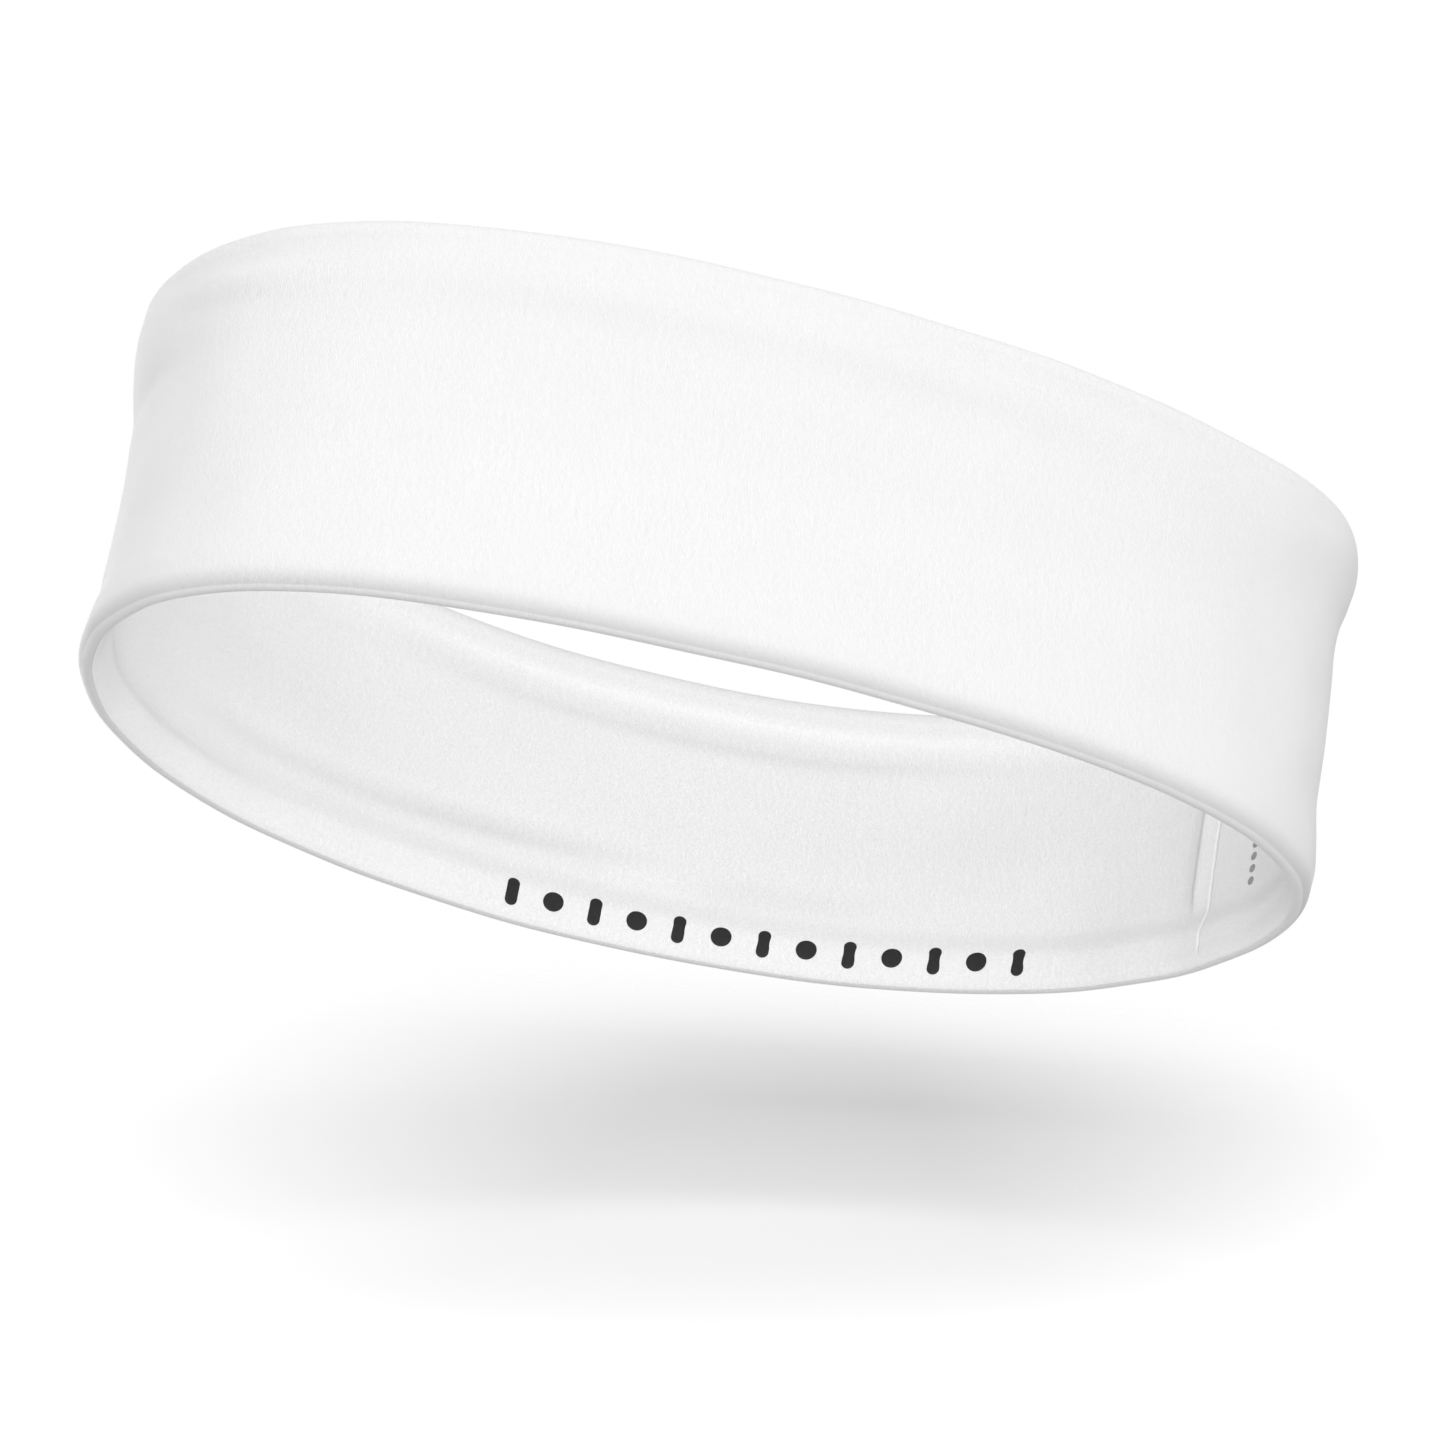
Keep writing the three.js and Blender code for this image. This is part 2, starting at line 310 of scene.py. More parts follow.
def backRows(side):
    # down inside the turned-in ply, over its cut edge, and up behind the face
    gap, thick = cloth["plyGap"], cloth["thickness"]
    lip = lips[side]["height"]
    plyRows = [2.4, 4.0, 5.6, 6.9]
    rows = [(gap, h) for h in [lip + 0.35] + plyRows]
    rows.append((gap + 0.15, cloth["edgeAllowance"]))
    rows.append((gap + thick - 0.15, cloth["edgeAllowance"]))
    rows += [(gap + thick, h) for h in reversed(plyRows)]
    rows.append((gap + thick + 0.12, lip + 0.75))
    rows.append((cloth["stripHalf"] - thick - 0.25, lip + 0.75))
    rows.append((cloth["stripHalf"] - thick, plyRows[0]))
    rows += [(stripHalfAt(h, side) - thick, h) for h in rimRows]
    return [(lips[side]["across"], lip)] + [(across * side, h) for across, h in rows]


def rimToRim(rows):
    # each row is across, height from the nearer rim, part of the wall, and share of the way up the body
    out = [(across, h, lowerRim, 0.0) for across, h in rows]
    across, h = rows[-1]
    out += [(across, h, wallBody, i / bodyRows) for i in range(1, bodyRows)]
    out += [(across, h, upperRim, 1.0) for across, h in reversed(rows)]
    return out


def faceOffset(length, height, fromRim, side):
    # how far a ring's face moves at its closing seam: off the allowance, and in along the stitches
    past = -length * side
    beyond = past - seam["allowance"]
    lift = smoothStep(*seam["ridgeRise"], past) * (1 - smoothStep(*seam["ridgeFall"], beyond))
    edge = np.exp(-(beyond / np.where(beyond < 0, *seam["edgeHalf"])) ** 2)
    edge = edge * (1 + 0.15 * np.sin(height * 0.5))
    fade = smoothStep(cloth["stripEnd"] + 3, cloth["easeEnd"] + 4, fromRim)
    ridge = (seam["ridge"] * lift + seam["edgeRidge"] * edge) * fade
    line = np.exp(-(past / seam["grooveHalf"]) ** 2)
    dip = seam["groove"] * smoothStep(1.0, 4.0, fromRim) * line
    sway = 0.8 * np.sin(height * 0.9)
    pucker = seam["pucker"] * np.sin(height * 2 * math.pi / seam["puckerPitch"] + sway)
    near = np.exp(-np.abs(past) ** 1.6) * (1 - line) * smoothStep(1.5, 5, fromRim)
    return side * (ridge - dip + pucker * near)


def paintedSeamShadeAt(length, fromRim, side):
    # painted shade: the stitches and the step at the cut edge lie in shade, so they are painted darker
    past = -length * side
    stitches = paintedShades["stitches"] * np.exp(-(past / paintedShades["stitchesHalf"]) ** 2)
    step = past - seam["allowance"] - paintedShades["cutEdgePast"]
    deep = paintedShades["outerCutEdge" if side > 0 else "innerCutEdge"]
    under = deep * np.exp(-(step / paintedShades["cutEdgeHalf"]) ** 2)
    under = under * smoothStep(cloth["stripEnd"] + 4, cloth["easeEnd"] + 2, fromRim)
    return (stitches + under) * smoothStep(1.2, 3.0, fromRim)


def paintedClothShadeAt(angle, length, height, fromRim, side):
    # painted shade: hollows between the waves are painted a little darker, and so is the near side's fold
    wave = waveDepth(angle, height)
    if side > 0:
        # painted shade under the turn of the lower rim, on the forehead side only
        near = 1 - smoothStep(-0.1, 0.3, np.sin(angle))
        fold = near * (1 - smoothStep(0.0, paintedShades["nearFoldHeight"], height))
        shade = paintedShades["outerPlain"] - paintedShades["outerHollow"] * wave + paintedShades["nearFold"] * fold
    else:
        # painted shade over the inner face away from its rims, which leaves the rim strips lighter, and
        # painted shade in its hollows
        shade = paintedShades["innerPlain"] * smoothStep(5.5, 10.0, fromRim) + paintedShades["innerHollow"] * wave
    return np.clip(shade, 0, paintedShades["most"]) + paintedSeamShadeAt(length, fromRim, side)


# The mesh has a section about every 1.3 mm round the band, and they stand closer near the closing seam.
sections = {
    "nearSeam": 9.0,
    "atSeam": 2.0,
    "stepBefore": 0.45,
    "stepAtSeam": 0.1,
    "stepAfter": 0.3,
    "elsewhere": 374,
}


def stationLengths():
    near, close = sections["nearSeam"], sections["atSeam"]
    before = np.arange(-near, -close, sections["stepBefore"])
    stitches = np.arange(-close, close, sections["stepAtSeam"])
    after = np.arange(close, near, sections["stepAfter"])
    rest = np.linspace(near, roundLength - near, sections["elsewhere"])[:-1]
    return np.concatenate([before, stitches, after, rest])


def ringMesh(name, points, faces, uvs):
    mesh = bpy.data.meshes.new(name)
    mesh.vertices.add(len(points))
    mesh.vertices.foreach_set("co", (points * 0.001).astype(np.float32).ravel())
    faces = faces.astype(np.int32)
    mesh.loops.add(faces.size)
    mesh.loops.foreach_set("vertex_index", faces.ravel())
    mesh.polygons.add(len(faces))
    mesh.polygons.foreach_set("loop_start", np.arange(0, faces.size, 4, dtype=np.int32))
    mesh.polygons.foreach_set("use_smooth", np.ones(len(faces), dtype=bool))
    mesh.update(calc_edges=True)
    mesh.validate()
    layer = mesh.uv_layers.new(name="clothPlace")
    layer.uv.foreach_set("vector", uvs.astype(np.float32).ravel())
    return mesh


def addObject(name, data):
    thing = bpy.data.objects.new(name, data)
    bpy.context.scene.collection.objects.link(thing)
    return thing


def knitRing(name, side):
    section = rimToRim(faceRows(side)) + rimToRim(backRows(side))[::-1]
    across, rim, part, share = np.array(section).T
    lengths = stationLengths()
    angles = angleAt(lengths)
    tall = wallHeight(angles)[:, None]
    body = rimRows[-1] + share * (tall - 2 * rimRows[-1])
    height = np.where(part == lowerRim, rim, np.where(part == upperRim, tall - rim, body))
    fromRim = np.minimum(height, tall - height)
    # the closing seam moves the wall itself, not the turned-in ply behind it
    isWall = np.abs(across) > cloth["stripHalf"] - cloth["thickness"] - 0.3
    isWall = isWall | (part == wallBody) | (rim >= cloth["edgeAllowance"] + 0.3)
    move = faceOffset(lengths[:, None], height, fromRim, side) * isWall * smoothStep(0.8, 2.4, rim)
    points = wallPlace(angles[:, None], across + move, height)
    count, rings = len(section), len(lengths)
    i = np.arange(rings)[:, None]
    j = np.arange(count)[None, :]
    here, there = i * count, ((i + 1) % rings) * count
    k = (j + 1) % count
    faces = np.stack([here + j, there + j, there + k, here + k], -1).reshape(-1, 4)
    # the knit runs round the band with its wales up the wall
    step = np.diff(across, append=across[0])
    rise = np.diff(height[0], append=height[0][0])
    path = np.concatenate([[0], np.cumsum(np.hypot(step, rise))])
    along = np.concatenate([lengths, [lengths[0] + roundLength]])
    u0, u1 = along[:-1][:, None] + 0 * j, along[1:][:, None] + 0 * j
    v0, v1 = path[:-1][None, :] + 0 * i, path[1:][None, :] + 0 * i
    corners = [np.stack(pair, -1) for pair in ((u0, v0), (u1, v0), (u1, v1), (u0, v1))]
    uvs = np.stack(corners, 2).reshape(-1, 4, 2)
    if side < 0:
        faces = faces[:, ::-1]
        uvs = uvs[:, ::-1]
    ring = addObject(name, ringMesh(name, points.reshape(-1, 3), faces, uvs))
    # painted shade, stored on the points, that darkens the cloth's colour in hollows, folds and seams
    dark = ring.data.attributes.new("paintedClothShade", "FLOAT", "POINT")
    shade = paintedClothShadeAt(angles[:, None], lengths[:, None], height, fromRim, side) * isWall
    dark.data.foreach_set("value", shade.astype(np.float32).ravel())
    return ring


def smoothPiece(name, points, faces):
    mesh = bpy.data.meshes.new(name)
    mesh.from_pydata([tuple(p) for p in points * 0.001], [], faces)
    for polygon in mesh.polygons:
        polygon.use_smooth = True
    mesh.update()
    return addObject(name, mesh)


# The black print along the lower rim, bars and dots in turn.
marks = {
    "count": 13,
    "firstAngle": 47.5,
    "pitch": 7.4,
    "height": 5.2,
    "barWidth": 2.2,
    "dotWidth": 3.6,
    "middle": 5.0,
    "above": 0.03,             # the print lies this far off the cloth
    "thickness": 0.07,
    "edgeDrop": 0.55,          # how much thinner it is along its outline
    "rings": 7,
    "around": 40,
}
# The grey dots beside the closing seam.
lotPrint = {
    "count": 4,
    "angle": 11.0,
    "lowest": 13.2,
    "pitch": 2.3,
    "width": 1.5,
}


def printedPlate(name, length, middle, width, height):
    # a thin plate with round ends that lies on the inner face of the wall
    rings, around = marks["rings"], marks["around"]
    turn = 2 * math.pi * (np.arange(around) + 0.5) / around
    rise = np.copysign((height - width) / 2, np.sin(turn))
    outline = np.stack([width / 2 * np.cos(turn), width / 2 * np.sin(turn) + rise], -1)
    flat = np.concatenate([[(0.0, 0.0)]] + [outline * (r / rings) for r in range(1, rings + 1)])
    n = len(flat)
    lengths = length + np.tile(flat[:, 0], 2)
    heights = middle + np.tile(flat[:, 1], 2)
    isTop = np.arange(2 * n) < n
    isEdge = np.arange(2 * n) % n >= n - around
    angles = angleAt(lengths)
    tall = wallHeight(angles)
    fromRim = np.minimum(heights, tall - heights)
    face = -stripHalfAt(fromRim, -1) + faceOffset(lengths, heights, fromRim, -1)
    out = marks["above"] + marks["thickness"] * np.where(isTop, 1 - marks["edgeDrop"] * isEdge, 0)
    points = wallPlace(angles, face - out, heights)
    faces = []
    for i in range(around):
        j = (i + 1) % around
        faces.append((1 + j, 1 + i, 0))
        faces.append((n + 1 + i, n + 1 + j, n))
        for r in range(rings - 1):
            a, b = 1 + r * around, 1 + (r + 1) * around
            faces.append((a + j, b + j, b + i, a + i))
            faces.append((n + b + i, n + b + j, n + a + j, n + a + i))
        a = 1 + (rings - 1) * around
        faces.append((a + j, n + a + j, n + a + i, a + i))
    return smoothPiece(name, points, faces)


# Overlock threads inside the seams. A loop is a line of points: for an edge (side of the wall,
# height up the thread), for a closing seam (past the cut edge, depth behind the face).
overlock = {
    "pitch": 2.5,
    "threadWidth": 0.22,
    "threadSides": 5,
    "reach": 1.2,
    "edgeLoop": [
        (-1, 0.0), (-1, 0.6), (-0.9, 1.2), (-0.4, 1.42), (0.4, 1.42), (0.9, 1.2), (1, 0.6), (1, 0.0),
    ],
    "closingLoop": [
        (0.0, 0.9), (0.35, 0.95), (0.5, 0.6), (0.5, 0.35), (0.35, 0.05), (0.0, 0.0), (-0.15, 0.5),
    ],
}


def threadTube(name, centre, closed):
    # a thin round thread along a line of points
    sides = overlock["threadSides"]
    radius = overlock["threadWidth"] / 2
    ahead = np.roll(centre, -1, 0) - np.roll(centre, 1, 0)
    if not closed:
        ahead[0] = centre[1] - centre[0]
        ahead[-1] = centre[-1] - centre[-2]
    ahead /= np.linalg.norm(ahead, axis=1)[:, None]
    anyWay = np.array([0.31, 0.17, 0.93])
    first = np.cross(ahead, anyWay)
    first /= np.linalg.norm(first, axis=1)[:, None]
    second = np.cross(ahead, first)
    points = []
    for k in range(sides):
        t = 2 * math.pi * k / sides
        points.append(centre + radius * (math.cos(t) * first + math.sin(t) * second))
    points = np.stack(points, 1).reshape(-1, 3)
    n = len(centre)
    faces = []
    for i in range(n if closed else n - 1):
        a, b = i * sides, ((i + 1) % n) * sides
        for k in range(sides):
            m = (k + 1) % sides
            faces.append((a + k, a + m, b + m, b + k))
    if not closed:
        faces.append(tuple(range(sides))[::-1])
        faces.append(tuple((n - 1) * sides + k for k in range(sides)))
    return smoothPiece(name, points, faces)


def loopPoints(shape, loops):
    # both columns of a loop's points, for all the loops, and each point's share of the whole line
    first, second = np.tile(np.array(shape), (loops, 1)).T
    return first, second, np.arange(len(first)) / len(first)


def edgeOverlock(name, isUpper):
    # loops that go over both cut edges and down each side
    loops = round(roundLength / overlock["pitch"])
    sideways, up, share = loopPoints(overlock["edgeLoop"], loops)
    up = up + cloth["edgeAllowance"] - overlock["reach"] + 0.05
    angles = angleAt(share * roundLength)
    height = wallHeight(angles) - up if isUpper else up
    return threadTube(name, wallPlace(angles, sideways * (bodyHalf + 0.2), height), True)


def closingOverlock(name, side):
    # loops over the cut edge of a closing allowance, up the wall
    start = cloth["easeEnd"] + 3.6
    tall = float(wallHeight(seamAngle)) - 2 * start
    past, depth, share = loopPoints(overlock["closingLoop"], int(tall / overlock["pitch"]))
    angles = angleAt((seam["allowance"] - 0.2 + past) * side)
    return threadTube(name, wallPlace(angles, -side * (depth * 0.75 + 0.12), start + share * tall), False)


def addNode(tree, kind, place, **values):
    node = tree.nodes.new(kind)
    node.location = (place[0] * 190, -place[1] * 170)
    for key, value in values.items():
        setattr(node, key, value)
    return node


def plug(tree, socket, value):
    # a socket's value is another node's output or a plain number or colour
    if isinstance(value, bpy.types.NodeSocket):
        tree.links.new(value, socket)
    else:
        socket.default_value = value


def calc(tree, operation, first, second=None, place=(0, 0), clamp=False):
    node = addNode(tree, "ShaderNodeMath", place, operation=operation, use_clamp=clamp)
    plug(tree, node.inputs[0], first)
    if second is not None:
        plug(tree, node.inputs[1], second)
    return node.outputs[0]


def mixColor(tree, place, first, second, factor):
    node = addNode(tree, "ShaderNodeMix", place, data_type="RGBA")
    plug(tree, node.inputs[6], first)
    plug(tree, node.inputs[7], second)
    plug(tree, node.inputs[0], factor)
    return node.outputs[2]


def mapRange(tree, place, *values):
    # value, from low, from high, to low, to high
    node = addNode(tree, "ShaderNodeMapRange", place)
    for socket, value in zip(node.inputs, values):
        plug(tree, socket, value)
    return node.outputs[0]


def mixShaders(tree, place, first, second, factor):
    node = addNode(tree, "ShaderNodeMixShader", place)
    tree.links.new(factor, node.inputs[0])
    tree.links.new(first, node.inputs[1])
    tree.links.new(second, node.inputs[2])
    return node.outputs[0]


def newGroup(name, inputs, outputs):
    group = bpy.data.node_groups.new(name, "ShaderNodeTree")
    for label, kind, value in inputs:
        socket = group.interface.new_socket(name=label, in_out="INPUT", socket_type=kind)
        if value is not None:
            socket.default_value = value
    for label in outputs:
        group.interface.new_socket(name=label, in_out="OUTPUT", socket_type="NodeSocketFloat")
    start = addNode(group, "NodeGroupInput", (-6, 0))
    end = addNode(group, "NodeGroupOutput", (12, 0))
    return group, start, end


def jerseyGroup():
    # rows of V-shaped stitches; the coordinate is in mm, across the wales and up them
    inputs = [
        ("Place", "NodeSocketVector", None),
        ("Wale", "NodeSocketFloat", 0.5),
        ("Course", "NodeSocketFloat", 0.4),
        ("Unevenness", "NodeSocketFloat", 0.06),
    ]
    tree, start, end = newGroup("jerseyStitches", inputs, ["Height", "Gap", "Streak"])
    link = tree.links.new
    # the rows wander a little
    wander = addNode(tree, "ShaderNodeTexNoise", (-5, 3), noise_dimensions="2D")
    wander.inputs["Scale"].default_value = 1.1
    wander.inputs["Detail"].default_value = 2.0
    link(start.outputs["Place"], wander.inputs["Vector"])
    shift = addNode(tree, "ShaderNodeVectorMath", (-4, 3), operation="SUBTRACT")
    shift.inputs[1].default_value = (0.5, 0.5, 0.5)
    link(wander.outputs["Color"], shift.inputs[0])
    scaled = addNode(tree, "ShaderNodeVectorMath", (-3, 3), operation="SCALE")
    link(shift.outputs[0], scaled.inputs[0])
    link(start.outputs["Unevenness"], scaled.inputs["Scale"])
    moved = addNode(tree, "ShaderNodeVectorMath", (-2, 1), operation="ADD")
    link(start.outputs["Place"], moved.inputs[0])
    link(scaled.outputs[0], moved.inputs[1])
    parts = addNode(tree, "ShaderNodeSeparateXYZ", (-1, 1))
    link(moved.outputs[0], parts.inputs[0])
    column = calc(tree, "DIVIDE", parts.outputs[0], start.outputs["Wale"], (0, 0))
    row = calc(tree, "DIVIDE", parts.outputs[1], start.outputs["Course"], (0, 2))
    # each wale is two legs of yarn that slant towards its middle
    inColumn = calc(tree, "SUBTRACT", calc(tree, "FRACT", column, None, (1, 0)), 0.5, (2, 0))
    fromMiddle = calc(tree, "ABSOLUTE", inColumn, None, (3, 0))
    fromLeg = calc(tree, "MULTIPLY", calc(tree, "SUBTRACT", fromMiddle, 0.25, (4, 0)), 4.0, (5, 0))
    leg = calc(tree, "SUBTRACT", 1.0, calc(tree, "MULTIPLY", fromLeg, fromLeg, (6, 0)), (7, 0))
    slant = calc(tree, "MULTIPLY_ADD", fromMiddle, 1.5, (4, 2))
    link(row, slant.node.inputs[2])
    inRow = calc(tree, "SUBTRACT", calc(tree, "FRACT", slant, None, (5, 2)), 0.5, (6, 2))
    bend = calc(tree, "MULTIPLY", calc(tree, "MULTIPLY", inRow, inRow, (7, 2)), 0.6, (8, 2))
    yarn = calc(tree, "SUBTRACT", 1.0, bend, (9, 2))
    # no two wales or courses of yarn are quite the same white
    streaks = []
    for place, line in ((4, column), (6, slant)):
        yarnShade = addNode(tree, "ShaderNodeTexWhiteNoise", (6, place), noise_dimensions="1D")
        link(calc(tree, "FLOOR", line, None, (5, place)), yarnShade.inputs["W"])
        streaks.append(yarnShade.outputs["Value"])
    streak = calc(tree, "MULTIPLY", calc(tree, "ADD", streaks[0], streaks[1], (8, 5)), 0.5, (9, 5))
    link(streak, end.inputs["Streak"])
    link(calc(tree, "MULTIPLY", leg, yarn, (10, 1), clamp=True), end.inputs["Height"])
    link(calc(tree, "SUBTRACT", 1.0, leg, (11, 2), clamp=True), end.inputs["Gap"])
    return tree


def fuzzGroup():
    # loose fibres and the slight mottling of washed cloth
    inputs = [("Place", "NodeSocketVector", None)]
    tree, start, end = newGroup("clothFuzz", inputs, ["Fibre", "Mottle"])
    for output, row, scale, roughness in (("Fibre", 0, 2500, 0.65), ("Mottle", 3, 130, 0.6)):
        noise = addNode(tree, "ShaderNodeTexNoise", (0, row), noise_dimensions="3D")
        noise.inputs["Scale"].default_value = scale
        noise.inputs["Detail"].default_value = 4
        noise.inputs["Roughness"].default_value = roughness
        tree.links.new(start.outputs["Place"], noise.inputs["Vector"])
        tree.links.new(noise.outputs["Fac"], end.inputs[output])
    return tree


jerseyStitches = jerseyGroup()
clothFuzz = fuzzGroup()

knit = {
    "light": (0.925, 0.925, 0.925, 1),
    # the colour towards which the yarn's own tone and the painted shade between its legs go
    "dark": (0.80, 0.80, 0.805, 1),
    # the grey that painted shade darkens the cloth towards
    "paintedShadeColor": (0.55, 0.55, 0.56, 1),
    "roughness": (0.85, 0.97),
    "mottled": 0.06,
    "sheen": 0.12,
    "waleWidth": 0.42,
    "courseHeight": 0.36,
    "unevenness": 0.45,
}
outerLook = {
    "stitchDepth": 0.5,
    # painted shade between the legs of yarn
    "paintedGapShade": 0.24,
    "grain": 0.5,
    "speckled": 0.14,
    "streaked": 0.05,
}
innerLook = {
    "stitchDepth": 0.6,
    # painted shade between the legs of yarn
    "paintedGapShade": 0.3,
    "grain": 1.6,
    "speckled": 0.42,
    "streaked": 0.09,
}
prints = {
    "black": (0.012, 0.012, 0.013, 1),
    "blackWear": 0.35,
    "grey": (0.27, 0.27, 0.28, 1),
    "greyWear": 0.5,
    "grain": 0.4,
}
thread = {
    "color": (0.86, 0.86, 0.87, 1),
    "darker": 0.8,
    "grain": 0.6,
    "sheen": 0.2,
    "roughness": 0.7,
}


def startMaterial(name):
    # a material whose fuzz follows the piece's own coordinates
    material = bpy.data.materials.new(name)
    material.use_nodes = True
    tree = material.node_tree
    solid = addNode(tree, "ShaderNodeTexCoord", (-9, 3))
    fuzz = addNode(tree, "ShaderNodeGroup", (-7, 3), node_tree=clothFuzz)
    tree.links.new(solid.outputs["Object"], fuzz.inputs["Place"])
    return material, tree, tree.nodes["Principled BSDF"], fuzz


def addBump(tree, shader, height, distance, strength):
    bump = addNode(tree, "ShaderNodeBump", (-2, 5))
    bump.inputs["Distance"].default_value = distance
    bump.inputs["Strength"].default_value = strength
    tree.links.new(height, bump.inputs["Height"])
    tree.links.new(bump.outputs[0], shader.inputs["Normal"])


def knitMaterial(name, look):
    material, tree, shader, fuzz = startMaterial(name)
    uv = addNode(tree, "ShaderNodeUVMap", (-9, 0), uv_map="clothPlace")
    stitches = addNode(tree, "ShaderNodeGroup", (-7, 0), node_tree=jerseyStitches)
    stitches.inputs["Unevenness"].default_value = knit["unevenness"]
    stitches.inputs["Wale"].default_value = knit["waleWidth"]
    stitches.inputs["Course"].default_value = knit["courseHeight"]
    tree.links.new(uv.outputs[0], stitches.inputs["Place"])
    fibre, mottle = fuzz.outputs["Fibre"], fuzz.outputs["Mottle"]
    # painted shade in the gaps between the legs of yarn
    shade = calc(tree, "MULTIPLY", stitches.outputs["Gap"], look["paintedGapShade"], (-4, 0))
    mottled = mapRange(tree, (-4, 3), mottle, 0.3, 0.7, 0.0, knit["mottled"])
    speckle = mapRange(tree, (-4, 2), fibre, 0.38, 0.62, 0.0, look["speckled"])
    streak = calc(tree, "MULTIPLY", stitches.outputs["Streak"], look["streaked"], (-4, 1))
    loose = calc(tree, "ADD", calc(tree, "ADD", mottled, speckle, (-3, 2)), streak, (-3, 3))
    # the painted gap shade plus the yarn's own mottle, speckles and streaks
    dark = calc(tree, "ADD", shade, loose, (-3, 1), clamp=True)
    plain = mixColor(tree, (-2, 1), knit["light"], knit["dark"], dark)
    # painted shade: the rings' painted hollows, folds and seams darken the colour towards a grey
    paintedShadeNode = addNode(tree, "ShaderNodeAttribute", (-3, 2), attribute_name="paintedClothShade")
    color = mixColor(tree, (-1, 1), plain, knit["paintedShadeColor"], paintedShadeNode.outputs["Fac"])
    tree.links.new(color, shader.inputs["Base Color"])
    rough = mapRange(tree, (-2, 3), mottle, 0.3, 0.7, *knit["roughness"])
    tree.links.new(rough, shader.inputs["Roughness"])
    fibres = calc(tree, "MULTIPLY", fibre, look["grain"], (-4, 5))
    height = calc(tree, "ADD", stitches.outputs["Height"], fibres, (-3, 4))
    addBump(tree, shader, height, 0.0001, look["stitchDepth"])
    shader.inputs["Sheen Weight"].default_value = knit["sheen"]
    shader.inputs["Sheen Roughness"].default_value = 0.6
    shader.inputs["Specular IOR Level"].default_value = 0.2
    return material


def printMaterial(name, color, wear):
    material, tree, shader, fuzz = startMaterial(name)
    faded = tuple(min(1.0, c * 2.2 + 0.02) for c in color[:3]) + (1,)
    mask = mapRange(tree, (-4, 1), fuzz.outputs["Fibre"], 0.45, 0.75, 0.0, wear)
    tree.links.new(mixColor(tree, (-2, 1), color, faded, mask), shader.inputs["Base Color"])
    rough = mapRange(tree, (-3, 4), fuzz.outputs["Fibre"], 0.3, 0.7, 0.5, 0.75)
    tree.links.new(rough, shader.inputs["Roughness"])
    addBump(tree, shader, fuzz.outputs["Fibre"], 0.00005, prints["grain"])
    shader.inputs["Specular IOR Level"].default_value = 0.3
    return material


def threadMaterial(name):
    material, tree, shader, fuzz = startMaterial(name)
    dark = tuple(c * thread["darker"] for c in thread["color"][:3]) + (1,)
    mask = mapRange(tree, (-4, 1), fuzz.outputs["Fibre"], 0.4, 0.7, 0.0, 1.0)
    tree.links.new(mixColor(tree, (-2, 1), thread["color"], dark, mask), shader.inputs["Base Color"])
    addBump(tree, shader, fuzz.outputs["Fibre"], 0.00005, thread["grain"])
    shader.inputs["Roughness"].default_value = thread["roughness"]
    shader.inputs["Sheen Weight"].default_value = thread["sheen"]
    return material


outerKnit = knitMaterial("outerKnit", outerLook)
innerKnit = knitMaterial("innerKnit", innerLook)
blackPrint = printMaterial("blackPrint", prints["black"], prints["blackWear"])
greyPrint = printMaterial("greyPrint", prints["grey"], prints["greyWear"])
whiteThread = threadMaterial("whiteThread")
print("materials made")


def settle(piece, slot, material, *nodes):
    piece.data.materials.append(material)
    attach(piece, "root")
    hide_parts(*nodes)
    return piece


outerRing = settle(knitRing("outer_knit", 1), "knit", outerKnit, "outer_ring")
innerRing = settle(knitRing("inner_knit", -1), "knit", innerKnit, "inner_ring")
insidePieces = [innerRing]
print("knit rings made", len(outerRing.data.polygons), len(innerRing.data.polygons))

settle(edgeOverlock("upper_edge_thread", True), "thread", whiteThread, "upper_edge_overlock")
settle(edgeOverlock("lower_edge_thread", False), "thread", whiteThread, "lower_edge_overlock")
settle(closingOverlock("outer_closing_thread", -1), "thread", whiteThread, "outer_closing_overlock")
settle(closingOverlock("inner_closing_thread", 1), "thread", whiteThread, "inner_closing_overlock")
print("overlock threads made")

firstLength = lengthAt(marks["firstAngle"])
for i in range(marks["count"]):
    isBar = i % 2 == 0
    width = marks["barWidth"] if isBar else marks["dotWidth"]
    height = marks["height"] if isBar else marks["dotWidth"]
    length = firstLength + i * marks["pitch"]
    piece = printedPlate(f"black_mark_{i + 1}", length, marks["middle"], width, height)
    settle(piece, "print", blackPrint, f"print_mark_{i + 1}")
    insidePieces.append(piece)

lotLength = lengthAt(lotPrint["angle"])
for i in range(lotPrint["count"]):
    middle = lotPrint["lowest"] + i * lotPrint["pitch"]
    piece = printedPlate(f"grey_dot_{i + 1}", lotLength, middle, lotPrint["width"], lotPrint["width"])
    settle(piece, "lot_print", greyPrint, f"lot_dot_{i + 1}")
    insidePieces.append(piece)
print("prints made")

# A low camera that looks up at the band.
cameraSetup = {
    "target": (0.0, 0.0, 0.0312),
    "azimuth": 12.937,         # degrees from looking along +Y
    "elevation": -27.65,
    "distance": 0.8724,
    "roll": 8.02,
    "aimRight": 0.00343,
    "aimUp": -0.01138,
    "lens": 134.4,
}


